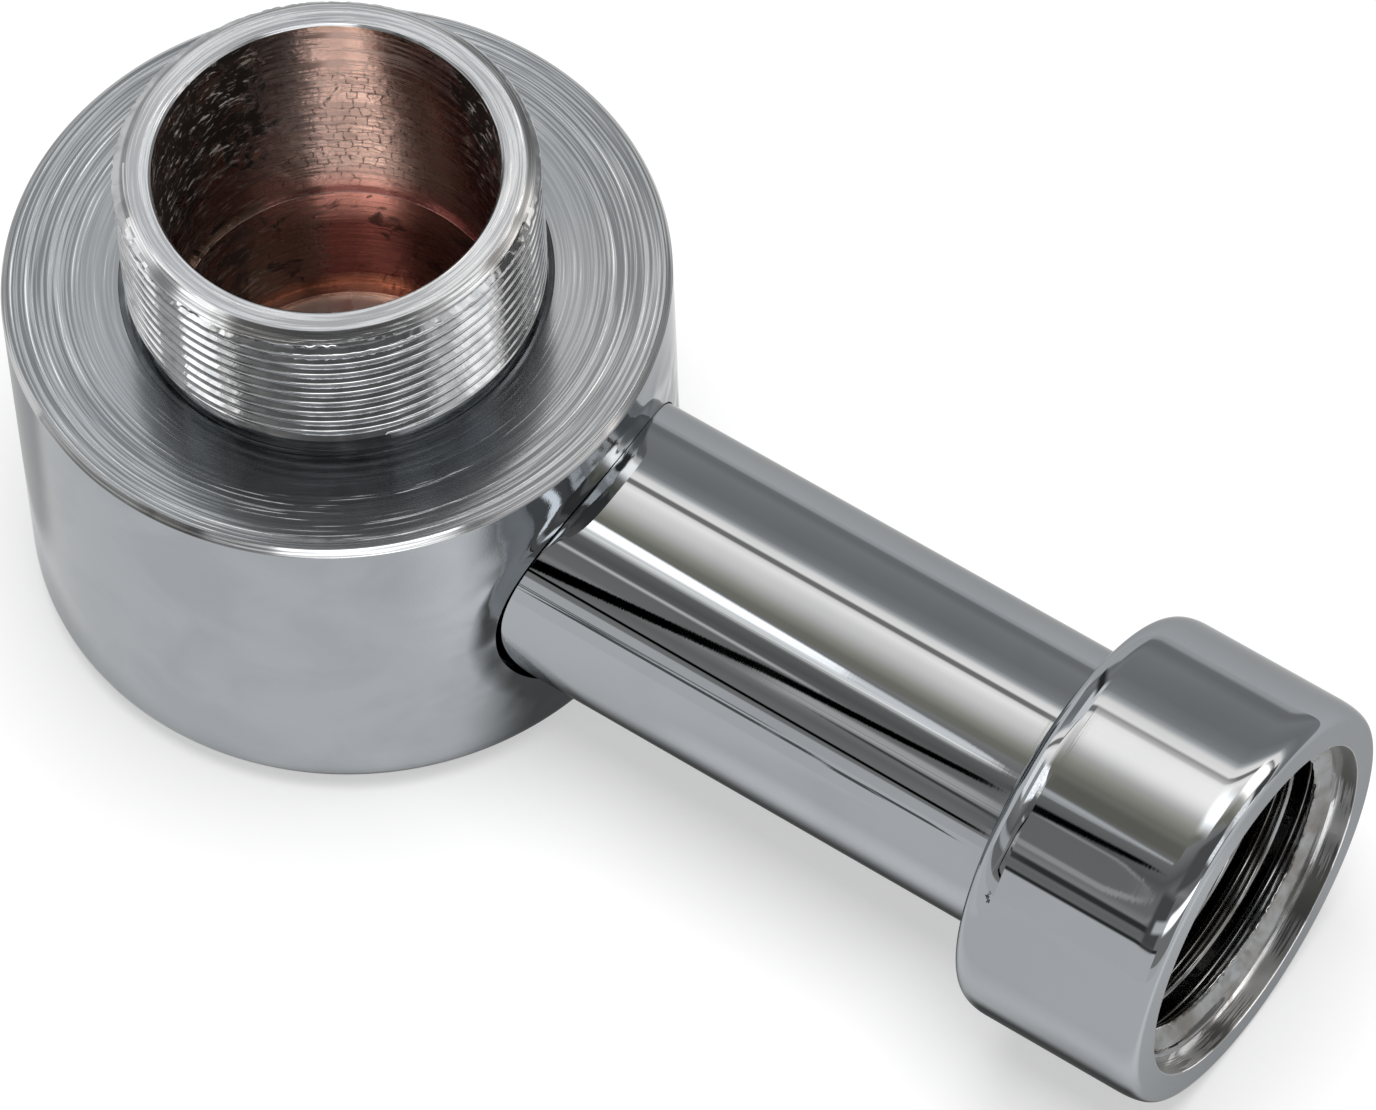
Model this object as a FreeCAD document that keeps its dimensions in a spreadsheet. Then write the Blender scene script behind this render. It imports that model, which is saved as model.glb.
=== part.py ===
import FreeCAD, Part
import Sketcher
import os

# Wall outlet elbow: a turned drum whose short male-threaded nipple points up, and an outlet tube
# with a threaded socket that is set into a counterbored hole in the drum's side.
# The origin is the centre of the drum's flat base, +Z is the nipple's axis, +X the outlet's.

document = FreeCAD.newDocument("wall_outlet_elbow")

# Driving dimensions, in millimetres and degrees.
driving_dimensions = [
    # The drum, from its base up.
    ("drum_diameter", "41.0"),
    ("drum_height", "26.3"),
    ("base_edge_radius", "2.2"),
    ("face_edge_chamfer", "0.4"),
    # The nipple on the drum's face. Its thread is left as a plain cylinder over the crests.
    ("nipple_thread_diameter", "25.88"),
    ("nipple_height", "11.2"),
    ("nipple_lead_in_width", "0.95"),
    ("nipple_lead_in_height", "0.5"),
    ("relief_root_diameter", "24.6"),
    ("relief_height", "0.55"),
    ("relief_recess", "0.25"),
    ("foot_ring_diameter", "26.6"),
    # The stepped blind bore. Its depths are taken from the drum's face.
    ("upper_bore_diameter", "21.1"),
    ("lower_bore_diameter", "20.5"),
    ("floor_pocket_diameter", "19.0"),
    ("bore_mouth_chamfer", "0.15"),
    ("ledge_depth", "5.85"),
    ("lip_depth", "15.65"),
    ("floor_depth", "16.05"),
    # The outlet tube and how it seats in the drum's side.
    ("tube_axis_height", "13.1"),
    ("tube_diameter", "18.7"),
    ("tube_hole_clearance", "0.25"),
    ("tube_seat_depth", "5.5"),
    ("spigot_diameter", "15.9"),
    ("spigot_length", "3.8"),
    ("spigot_clearance", "0.05"),
    ("spigot_end_gap", "0.2"),
    ("tube_bore_diameter", "13.0"),
    ("passage_diameter", "11.0"),
    ("passage_end_distance", "4.0"),
    ("drill_point_angle", "118"),
    # The socket at the tube's end. Its thread is left as the plain hole over the crests.
    ("outlet_reach", "67.0"),
    ("collar_diameter", "27.0"),
    ("collar_length", "13.2"),
    ("collar_back_edge_radius", "1.6"),
    ("collar_front_edge_chamfer", "0.45"),
    ("mouth_diameter", "22.3"),
    ("mouth_depth", "1.3"),
    ("socket_thread_bore", "18.63"),
    ("socket_thread_length", "10.5"),
]

sheet = document.addObject("Spreadsheet::Sheet", "Sizes")
for row, (name, value) in enumerate(driving_dimensions, start=1):
    sheet.set(f"A{row}", name)
    sheet.set(f"B{row}", value)
    sheet.setAlias(f"B{row}", name)
document.recompute()


def new_body(name):
    body = document.addObject("PartDesign::Body", name)
    body.Label = name
    return body


def section_sketch(body, name):
    """An empty sketch on the body's own XZ plane: sketch x runs along X, sketch y along Z."""
    sketch = body.newObject("Sketcher::SketchObject", name)
    plane = next(f for f in body.Origin.OriginFeatures if f.Role == "XZ_Plane")
    sketch.AttachmentSupport = [(plane, "")]
    sketch.MapMode = "FlatFace"
    return sketch


def fix_point(sketch, line, end, x, y):
    """Holds one end of a line at x and y, each a formula in the sheet's names or None for zero."""
    for formula, axis, direction in ((x, -2, "DistanceX"), (y, -1, "DistanceY")):
        if formula is None:
            sketch.addConstraint(Sketcher.Constraint("PointOnObject", line, end, axis))
        else:
            index = sketch.addConstraint(Sketcher.Constraint(direction, -1, 1, line, end, 1.0))
            sketch.setExpression(f"Constraints[{index}]", formula)


def draw_section(sketch, corners):
    """Draws a closed outline. The lines start as a fan and the constraints bring them to size."""
    count = len(corners)
    start = [FreeCAD.Vector(10 + i, 10 + i * i, 0) for i in range(count)]
    for i in range(count):
        sketch.addGeometry(Part.LineSegment(start[i], start[(i + 1) % count]), False)
    for i in range(count):
        sketch.addConstraint(Sketcher.Constraint("Coincident", i, 2, (i + 1) % count, 1))
    for i, (x, y) in enumerate(corners):
        fix_point(sketch, i, 1, x, y)


def turn(body, kind, name, sketch, axis):
    feature = body.newObject(kind, name)
    feature.Profile = (sketch, [""])
    feature.ReferenceAxis = (sketch, [axis])
    feature.Angle = 360
    document.recompute()
    return feature


def cut_checked(body, name, sketch, axis):
    """A Groove that has to take material away, because one that misses the solid shows no error."""
    before = body.Shape.Volume
    feature = turn(body, "PartDesign::Groove", name, sketch, axis)
    if not body.Shape.Volume < before:
        raise RuntimeError(f"{name} cuts nothing")
    return feature


def ring_edge(body, radius, centre):
    """The name of the one round edge of this radius about this centre, both in millimetres."""
    tolerance = 1e-4
    for number, edge in enumerate(body.Tip.Shape.Edges, start=1):
        curve = edge.Curve
        if isinstance(curve, Part.Circle) and abs(curve.Radius - radius) < tolerance:
            if (curve.Center - centre).Length < tolerance:
                return f"Edge{number}"
    raise RuntimeError(f"no edge of radius {radius} at {centre}")


def size(name):
    return float(sheet.get(name))


def dress_edge(body, kind, name, property_name, size_name, radius, centre):
    base = body.Tip
    edge = ring_edge(body, radius, centre)
    feature = body.newObject(kind, name)
    feature.Base = (base, [edge])
    feature.setExpression(property_name, f"Sizes.{size_name}")
    document.recompute()
    return feature


# Drum body: drum and nipple turned from one bar.
drum = new_body("drum_body")

face = "Sizes.drum_height"
nipple_top = "Sizes.drum_height + Sizes.nipple_height"
drum_wall = "Sizes.drum_diameter / 2"
thread_crest = "Sizes.nipple_thread_diameter / 2"

blank = section_sketch(drum, "drum_and_nipple_section")
draw_section(blank, [
    (None, None),
    (drum_wall, None),
    (drum_wall, face),
    (thread_crest, face),
    (thread_crest, f"{nipple_top} - Sizes.nipple_lead_in_height"),
    (f"{thread_crest} - Sizes.nipple_lead_in_width", nipple_top),
    (None, nipple_top),
])
turn(drum, "PartDesign::Revolution", "drum_and_nipple", blank, "V_Axis")

bore = section_sketch(drum, "stepped_bore_section")
upper_bore_wall = "Sizes.upper_bore_diameter / 2"
lower_bore_wall = "Sizes.lower_bore_diameter / 2"
pocket_wall = "Sizes.floor_pocket_diameter / 2"
draw_section(bore, [
    (None, f"{face} - Sizes.floor_depth"),
    (pocket_wall, f"{face} - Sizes.floor_depth"),
    (pocket_wall, f"{face} - Sizes.lip_depth"),
    (lower_bore_wall, f"{face} - Sizes.lip_depth"),
    (lower_bore_wall, f"{face} - Sizes.ledge_depth"),
    (upper_bore_wall, f"{face} - Sizes.ledge_depth"),
    (upper_bore_wall, nipple_top),
    (None, nipple_top),
])
cut_checked(drum, "stepped_bore", bore, "V_Axis")

# The thread runs out into a groove that goes a little below the face and opens to the foot ring.
relief = section_sketch(drum, "thread_relief_section")
relief_root = "Sizes.relief_root_diameter / 2"
foot_ring = "Sizes.foot_ring_diameter / 2"
draw_section(relief, [
    (relief_root, f"{face} - Sizes.relief_recess"),
    (thread_crest, f"{face} - Sizes.relief_recess"),
    (foot_ring, face),
    (foot_ring, f"{face} + Sizes.relief_height"),
    (relief_root, f"{face} + Sizes.relief_height"),
])
cut_checked(drum, "thread_relief", relief, "V_Axis")

# The side hole is one boring along the outlet's axis: room for the tube, a seat for its
# shoulder, room for its spigot, and the drilled water way with its conical end.
seat_distance = f"({drum_wall} - Sizes.tube_seat_depth)"
spigot_hole_end = f"({seat_distance} - Sizes.spigot_length - Sizes.spigot_end_gap)"
drill_tip = "Sizes.passage_diameter / 2 / tan(Sizes.drill_point_angle / 2 * 1 deg)"
outlet_axis = "Sizes.tube_axis_height"
tube_wall = "Sizes.tube_diameter / 2"
spigot_wall = "Sizes.spigot_diameter / 2"
passage_wall = "Sizes.passage_diameter / 2"

side_hole = section_sketch(drum, "side_hole_section")
hole_outline = [
    (f"Sizes.passage_end_distance - {drill_tip}", outlet_axis),
    ("Sizes.passage_end_distance", f"{outlet_axis} + {passage_wall}"),
    (spigot_hole_end, f"{outlet_axis} + {passage_wall}"),
    (spigot_hole_end, f"{outlet_axis} + {spigot_wall} + Sizes.spigot_clearance"),
    (seat_distance, f"{outlet_axis} + {spigot_wall} + Sizes.spigot_clearance"),
    (seat_distance, f"{outlet_axis} + {tube_wall} + Sizes.tube_hole_clearance"),
    (drum_wall, f"{outlet_axis} + {tube_wall} + Sizes.tube_hole_clearance"),
    (drum_wall, outlet_axis),
]
draw_section(side_hole, hole_outline)
axis_line = side_hole.addGeometry(
    Part.LineSegment(FreeCAD.Vector(0, 1, 0), FreeCAD.Vector(30, 1, 0)), True)
fix_point(side_hole, axis_line, 1, None, outlet_axis)
fix_point(side_hole, axis_line, 2, drum_wall, outlet_axis)
cut_checked(drum, "side_hole", side_hole, "Axis0")

nipple_top_height = size("drum_height") + size("nipple_height")
dress_edge(drum, "PartDesign::Fillet", "base_edge", "Radius", "base_edge_radius",
           size("drum_diameter") / 2, FreeCAD.Vector(0, 0, 0))
dress_edge(drum, "PartDesign::Chamfer", "face_edge", "Size", "face_edge_chamfer",
           size("drum_diameter") / 2, FreeCAD.Vector(0, 0, size("drum_height")))
dress_edge(drum, "PartDesign::Chamfer", "bore_mouth", "Size", "bore_mouth_chamfer",
           size("upper_bore_diameter") / 2, FreeCAD.Vector(0, 0, nipple_top_height))

# Outlet tube: spigot, tube and threaded socket turned as one, drawn about the body's own X axis.
tube = new_body("outlet_tube")
tube.setExpression("Placement.Base.z", outlet_axis)

collar_back = "(Sizes.outlet_reach - Sizes.collar_length)"
collar_wall = "Sizes.collar_diameter / 2"
thread_start = "(Sizes.outlet_reach - Sizes.mouth_depth)"
thread_end = f"({thread_start} - Sizes.socket_thread_length)"
socket_wall = "Sizes.socket_thread_bore / 2"
tube_bore_wall = "Sizes.tube_bore_diameter / 2"
drill_cone = f"({socket_wall} - {tube_bore_wall}) / tan(Sizes.drill_point_angle / 2 * 1 deg)"

tube_section = section_sketch(tube, "tube_and_socket_section")
draw_section(tube_section, [
    (f"{seat_distance} - Sizes.spigot_length", tube_bore_wall),
    (f"{thread_end} - {drill_cone}", tube_bore_wall),
    (thread_end, socket_wall),
    (thread_start, socket_wall),
    (thread_start, "Sizes.mouth_diameter / 2"),
    ("Sizes.outlet_reach", "Sizes.mouth_diameter / 2"),
    ("Sizes.outlet_reach", collar_wall),
    (collar_back, collar_wall),
    (collar_back, tube_wall),
    (seat_distance, tube_wall),
    (seat_distance, spigot_wall),
    (f"{seat_distance} - Sizes.spigot_length", spigot_wall),
])
turn(tube, "PartDesign::Revolution", "tube_and_socket", tube_section, "H_Axis")

collar_back_distance = size("outlet_reach") - size("collar_length")
dress_edge(tube, "PartDesign::Fillet", "collar_back_edge", "Radius", "collar_back_edge_radius",
           size("collar_diameter") / 2, FreeCAD.Vector(collar_back_distance, 0, 0))
dress_edge(tube, "PartDesign::Chamfer", "collar_front_edge", "Size", "collar_front_edge_chamfer",
           size("collar_diameter") / 2, FreeCAD.Vector(size("outlet_reach"), 0, 0))

document.recompute()
for item in document.Objects:
    if "Invalid" in item.State or "Error" in item.State:
        raise RuntimeError(f"{item.Label} failed: {item.State}")

os.makedirs("parts", exist_ok=True)
for body in (drum, tube):
    shape = body.Shape
    if shape.isNull() or not shape.isValid():
        raise RuntimeError(f"{body.Label} has no valid shape")
for body in (drum, tube):
    body.Shape.exportStep(f"parts/{body.Label}.step")
    box = body.Shape.BoundBox
    print(body.Label, "solids", len(body.Shape.Solids), "volume", round(body.Shape.Volume, 1),
          "box", [round(v, 3) for v in (box.XMin, box.YMin, box.ZMin, box.XMax, box.YMax, box.ZMax)])
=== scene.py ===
import math
from functools import reduce

import bmesh
import bpy
import numpy as np
from mathutils import Matrix, Vector


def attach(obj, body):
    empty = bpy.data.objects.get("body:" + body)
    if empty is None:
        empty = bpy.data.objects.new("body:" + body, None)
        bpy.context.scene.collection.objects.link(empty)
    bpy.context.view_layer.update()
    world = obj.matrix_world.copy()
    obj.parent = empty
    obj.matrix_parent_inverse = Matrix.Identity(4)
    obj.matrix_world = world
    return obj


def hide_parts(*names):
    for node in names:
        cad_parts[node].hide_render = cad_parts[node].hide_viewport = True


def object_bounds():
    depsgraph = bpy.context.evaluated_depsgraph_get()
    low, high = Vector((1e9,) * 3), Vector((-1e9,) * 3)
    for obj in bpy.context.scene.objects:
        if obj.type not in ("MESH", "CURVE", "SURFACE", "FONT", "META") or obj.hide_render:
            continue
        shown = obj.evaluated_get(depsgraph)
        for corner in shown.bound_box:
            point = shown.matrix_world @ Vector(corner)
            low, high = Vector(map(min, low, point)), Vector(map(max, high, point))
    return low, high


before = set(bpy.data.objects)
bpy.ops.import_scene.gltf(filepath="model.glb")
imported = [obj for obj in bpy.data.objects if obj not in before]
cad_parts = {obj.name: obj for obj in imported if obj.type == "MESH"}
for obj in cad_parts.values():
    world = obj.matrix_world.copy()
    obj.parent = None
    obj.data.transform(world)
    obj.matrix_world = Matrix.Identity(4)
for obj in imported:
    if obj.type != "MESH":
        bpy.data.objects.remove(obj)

# A chromed wall outlet elbow, in metres. The dictionaries below give sizes in millimetres.
mm = 0.001
cadBox = [list(corner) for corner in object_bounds()]
scene = bpy.context.scene


# Nodes. A formula's nodes go into the tree that its sockets belong to.
def feed(socket, value):
    if isinstance(value, bpy.types.NodeSocket):
        socket.id_data.links.new(value, socket)
    else:
        socket.default_value = value


def setSockets(node, sockets):
    for key, value in sockets.items():
        feed(node.inputs[key], value)
    return node


def addNode(tree, kind, sockets=None, **settings):
    node = tree.nodes.new(kind)
    for name, value in settings.items():
        setattr(node, name, value)
    return setSockets(node, sockets or {})


def treeOf(*values):
    return next(value.id_data for value in values if isinstance(value, bpy.types.NodeSocket))


def calc(operation, *values, clamp=False):
    return addNode(treeOf(*values), "ShaderNodeMath", dict(enumerate(values)), operation=operation,
                   use_clamp=clamp).outputs[0]


def plus(*values):
    return reduce(lambda a, b: calc("ADD", a, b), values)


def minus(a, b):
    return calc("SUBTRACT", a, b)


def times(*values):
    return reduce(lambda a, b: calc("MULTIPLY", a, b), values)


def over(a, b, clamp=False):
    return calc("DIVIDE", a, b, clamp=clamp)


def blend(amount, low, high):
    return addNode(treeOf(amount, low, high), "ShaderNodeMix", {0: amount, 2: low, 3: high},
                   data_type="FLOAT", clamp_factor=True).outputs[0]


def blendColours(amount, low, high):
    low, high = ((*c, 1) if isinstance(c, tuple) else c for c in (low, high))
    return addNode(treeOf(amount, low, high), "ShaderNodeMix", {0: amount, 6: low, 7: high},
                   data_type="RGBA", clamp_factor=True).outputs[2]


def step(value, start, end):
    # Smoothly from 0 at start to 1 at end.
    return addNode(treeOf(value), "ShaderNodeMapRange", {0: value, 1: start, 2: end, 3: 0.0, 4: 1.0},
                   interpolation_type="SMOOTHSTEP").outputs[0]


def between(value, low, high, softLow, softHigh):
    # 1 from low to high, falling to 0 over softLow below and softHigh above.
    return times(step(value, low - softLow, low), step(value, high + softHigh, high))


def joinXYZ(x, y, z=0.0):
    return addNode(treeOf(x, y, z), "ShaderNodeCombineXYZ", {0: x, 1: y, 2: z}).outputs[0]


def splitXYZ(vector):
    return addNode(treeOf(vector), "ShaderNodeSeparateXYZ", {0: vector}).outputs


def noiseOf(vector, scale, detail, roughness=0.5, distortion=0.0, seed=None, output="Fac"):
    sockets = {"Vector": vector, "Scale": scale, "Detail": detail, "Roughness": roughness,
               "Distortion": distortion}
    if seed is not None:
        sockets["W"] = seed
    return addNode(treeOf(vector), "ShaderNodeTexNoise", sockets,
                   noise_dimensions="3D" if seed is None else "4D").outputs[output]


def rampOf(value, stops):
    node = addNode(treeOf(value), "ShaderNodeValToRGB", {"Fac": value})
    elements = node.color_ramp.elements
    elements[0].position, elements[1].position = stops[0][0], stops[-1][0]
    elements[0].color, elements[1].color = (*stops[0][1], 1), (*stops[-1][1], 1)
    for place, colour in stops[1:-1]:
        elements.new(place).color = (*colour, 1)
    return node.outputs["Color"]


def newGroup(name, kind, inputs, outputs, outputKind="Float"):
    # An input is given by its first value, or by the kind of its socket.
    tree = bpy.data.node_groups.new(name, kind)
    kinds = {bool: "Bool", int: "Int", float: "Float"}
    for label, value in inputs.items():
        known = kinds.get(type(value))
        socket = tree.interface.new_socket(
            label, in_out="INPUT", socket_type="NodeSocket" + (known or value))
        if known:
            socket.default_value = value
    for label in outputs:
        tree.interface.new_socket(label, in_out="OUTPUT", socket_type="NodeSocket" + outputKind)
    return tree, tree.nodes.new("NodeGroupInput").outputs, tree.nodes.new("NodeGroupOutput").inputs


def placeGroup(group, sockets):
    node = treeOf(*sockets.values()).nodes.new("ShaderNodeGroup")
    node.node_tree = group
    return setSockets(node, sockets).outputs


def newPiece(name, places, faces):
    mesh = bpy.data.meshes.new(name)
    mesh.from_pydata(places, [], faces)
    made = bpy.data.objects.new(name, mesh)
    scene.collection.objects.link(made)
    return made


camera = {
    "place": (0.22069, -0.25971, 0.51085),
    "right": (0.82173594, 0.5693227, -0.024934),
    "down": (0.464775, -0.694870, -0.548761),
    "lens": 254.3,
}


def makeCamera(spec):
    right, down = Vector(spec["right"]).normalized(), Vector(spec["down"]).normalized()
    data = bpy.data.cameras.new("camera")
    data.lens, data.sensor_width = spec["lens"], 36.0
    data.clip_start, data.clip_end = 0.01, 20.0
    made = bpy.data.objects.new("camera", data)
    scene.collection.objects.link(made)
    turn = Matrix((right, -down, right.cross(-down))).transposed()
    made.matrix_world = Matrix.Translation(spec["place"]) @ turn.to_4x4()
    scene.camera = made


makeCamera(camera)
print("camera placed")


drumSizes = {
    "around": 360,
    "radius": 20.5, "height": 26.3, "baseRounding": 2.2, "faceChamfer": 0.4,
    "footRing": 13.3, "reliefRoot": 12.3, "reliefFloor": 26.05, "reliefTop": 26.85,
    "threadCrest": 12.94, "leadIn": 11.99, "nippleTop": 37.5, "boreEdge": 0.15,
    "upperBore": 10.55, "ledge": 20.45, "lowerBore": 10.25, "lip": 10.65, "pocket": 9.5,
    "floor": 10.25, "edgeSoftness": 0.07,
}

# The tube sits a little high and far back in its hole, so the seam opens at the lower near side.
sideHole = {
    "around": 192, "axisHeight": 13.1, "drop": 0.13, "forward": 0.1, "mouth": 9.57, "seat": 15.0,
    "spigot": 8.0, "spigotEnd": 11.0, "passage": 5.5, "passageEnd": 4.0, "tip": 0.7, "outside": 24.0,
}

# The collar's edges run out in long soft curves, as polishing leaves them.
tubeSizes = {
    "around": 360, "axisHeight": 13.1,
    "spigotEnd": 11.2, "spigot": 7.95, "seat": 15.0, "radius": 9.35, "bore": 6.5, "drillHalfAngle": 59,
    "collarBack": 53.8, "collar": 13.5, "collarFront": 67.0,
    "backEdge": (1.35, 2.0), "frontEdge": (2.1, 0.75),
    "mouth": 11.15, "shoulder": 65.7, "threadInnerEnd": 55.2, "threadCrest": 9.315,
    "edgeSoftness": 0.06,
}


def unit(v):
    return v / np.linalg.norm(v)


def rightOf(v):
    return np.array((v[1], -v[0]))


def softArc(p, a, b):
    # A soft curve from p + a to p + b that is tightest in its middle, as points and normals.
    power, arc = 0.8, []
    for t in np.clip(np.linspace(0, math.pi / 2, 25), 1e-4, math.pi / 2 - 1e-4):
        ahead, aside = math.cos(t), math.sin(t)
        place = p + a + b - b * ahead ** power - a * aside ** power
        along = b * ahead ** (power - 1) * aside - a * aside ** (power - 1) * ahead
        arc.append((place, unit(rightOf(along))))
    return arc


def roundArc(p, a, b, rounding):
    # A round corner at p between the directions a and b, as points and normals.
    half = math.acos(np.clip(a @ b, -1, 1)) / 2
    back = rounding / math.tan(half)
    centre = p + unit(a + b) * rounding / math.sin(half)
    s, e = p + a * back - centre, p + b * back - centre
    sweep = math.atan2(s[0] * e[1] - s[1] * e[0], s @ e)
    arc = []
    for t in np.linspace(0, sweep, 13 if rounding > 0.5 else 5):
        way = s * math.cos(t) - rightOf(s) * math.sin(t)
        arc.append((centre + way, way / rounding * (1 if sweep > 0 else -1)))
    return arc


def sectionOf(sizes, corners):
    # Each corner is radius, height, rounding and the finish of the run that starts there, the first
    # three as numbers or by their names in sizes. A rounding of two lengths is a soft curve that
    # starts so far before the corner and ends so far after it.
    # Returns rows of start, end, start normal, end normal, finish. Metal lies left of the path.
    corners = [(*(sizes[v] if isinstance(v, str) else v for v in c[:3]), c[3]) for c in corners]
    points = [np.array(c[:2], float) for c in corners]
    arcs = []
    for i, (p, (_, _, rounding, _)) in enumerate(zip(points, corners)):
        a, b = unit(points[i - 1] - p), unit(points[(i + 1) % len(points)] - p)
        if not rounding:
            arcs.append([(p, None)])
        elif isinstance(rounding, tuple):
            arcs.append(softArc(p, a * rounding[0], b * rounding[1]))
        else:
            arcs.append(roundArc(p, a, b, rounding))
    rows = []
    for i, (*_, finish) in enumerate(corners):
        for (p, n), (q, m) in zip(arcs[i][:-1], arcs[i][1:]):
            rows.append((p, q, n, m, finish))
        if finish:
            p, q = arcs[i][-1][0], arcs[(i + 1) % len(arcs)][0][0]
            normal = unit(rightOf(q - p))
            rows.append((p, q, normal, normal, finish))
    return rows


def layOut(u, v, h, axisPoint):
    return (u, v, h) if axisPoint is None else (h, u, v + axisPoint)


def lathe(name, rows, around, axisPoint=None):
    # Turns the section about Z, or about X through axisPoint. Points on the axis stay single.
    places, faces, rings = [], [], {}

    def ring(p):
        key = (round(p[0], 6), round(p[1], 6))
        pole = key[0] < 1e-9
        if key not in rings:
            rings[key] = len(places)
            for t in [0] if pole else (2 * math.pi * k / around for k in range(around)):
                place = layOut(p[0] * math.cos(t), p[0] * math.sin(t), p[1], axisPoint)
                places.append(tuple(c * mm for c in place))
        return rings[key], pole

    for p, q, *_ in rows:
        (a, poleA), (b, poleB) = ring(p), ring(q)
        for k in range(0 if poleA and poleB else around):
            m = (k + 1) % around
            if poleA:
                faces.append((a, b + m, b + k))
            elif poleB:
                faces.append((a + k, a + m, b))
            else:
                faces.append((a + k, a + m, b + m, b + k))
    return newPiece(name, places, faces)


def bake(made):
    # The evaluated object as a plain mesh, without its modifiers.
    depsgraph = bpy.context.evaluated_depsgraph_get()
    mesh = bpy.data.meshes.new_from_object(made.evaluated_get(depsgraph))
    made.modifiers.clear()
    old, made.data = made.data, mesh
    bpy.data.meshes.remove(old)
    mesh.name = made.name


def readAll(items, name, kind=float, width=1):
    found = np.empty(len(items) * width, kind)
    items.foreach_get(name, found)
    return found if width == 1 else found.reshape(-1, width)


def dropZone(made, inside):
    # Removes the faces for which inside(centres) is true, so that a thread can take their place.
    mesh = made.data
    goes = inside(readAll(mesh.polygons, "center", width=3) / mm)
    work = bmesh.new()
    work.from_mesh(mesh)
    work.faces.ensure_lookup_table()
    bmesh.ops.delete(work, geom=[work.faces[i] for i in np.flatnonzero(goes)], context="FACES")
    work.to_mesh(mesh)
    work.free()


def shadeTurned(made, rows, finishes, otherFinish, axisPoint=None):
    # Gives turned faces the section's own normals and finish, and the rest smooth normals.
    mesh = made.data
    mesh.polygons.foreach_set("use_smooth", [True] * len(mesh.polygons))
    mesh.set_sharp_from_angle(angle=math.radians(75))
    x, y, z = (readAll(mesh.vertices, "co", width=3) / mm).T
    u, v, h = (x, y, z) if axisPoint is None else (y, z - axisPoint, x)
    r = np.hypot(u, v)
    loopVertex = readAll(mesh.loops, "vertex_index", int)
    starts = readAll(mesh.polygons, "loop_start", int)
    faceOfLoop = np.repeat(np.arange(len(starts)), readAll(mesh.polygons, "loop_total", int))

    def shareOf(p, run):
        return np.clip(((r - p[0]) * run[0] + (h - p[1]) * run[1]) / (run @ run), 0, 1)

    bestRow, bestGap = np.full(len(starts), -1), np.full(len(starts), 0.003)
    for index, (p, q, *_) in enumerate(rows):
        run = q - p
        t = shareOf(p, run)
        gap = np.hypot(r - p[0] - t * run[0], h - p[1] - t * run[1])
        worst = np.maximum.reduceat(gap[loopVertex], starts)
        better = worst < bestGap
        bestGap[better], bestRow[better] = worst[better], index
    normals = readAll(mesh.corner_normals, "vector", width=3)
    loopRow = bestRow[faceOfLoop]
    for index, (p, q, n, m, _) in enumerate(rows):
        loops = np.flatnonzero(loopRow == index)
        verts = loopVertex[loops]
        t = shareOf(p, q - p)[verts]
        nr, nh = n[0] + (m[0] - n[0]) * t, n[1] + (m[1] - n[1]) * t
        size = np.maximum(r[verts], 1e-9)
        found = np.stack(layOut(nr * u[verts] / size, nr * v[verts] / size, nh, axisPoint and 0), axis=1)
        normals[loops] = found / np.linalg.norm(found, axis=1)[:, None]
    mesh.normals_split_custom_set(normals)
    order = list(finishes)
    mesh.materials.clear()
    for finish in order:
        mesh.materials.append(finishes[finish])
    materialOf = [order.index(otherFinish if i < 0 else rows[i][4]) for i in bestRow]
    mesh.polygons.foreach_set("material_index", materialOf)
    mesh.update()


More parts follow.
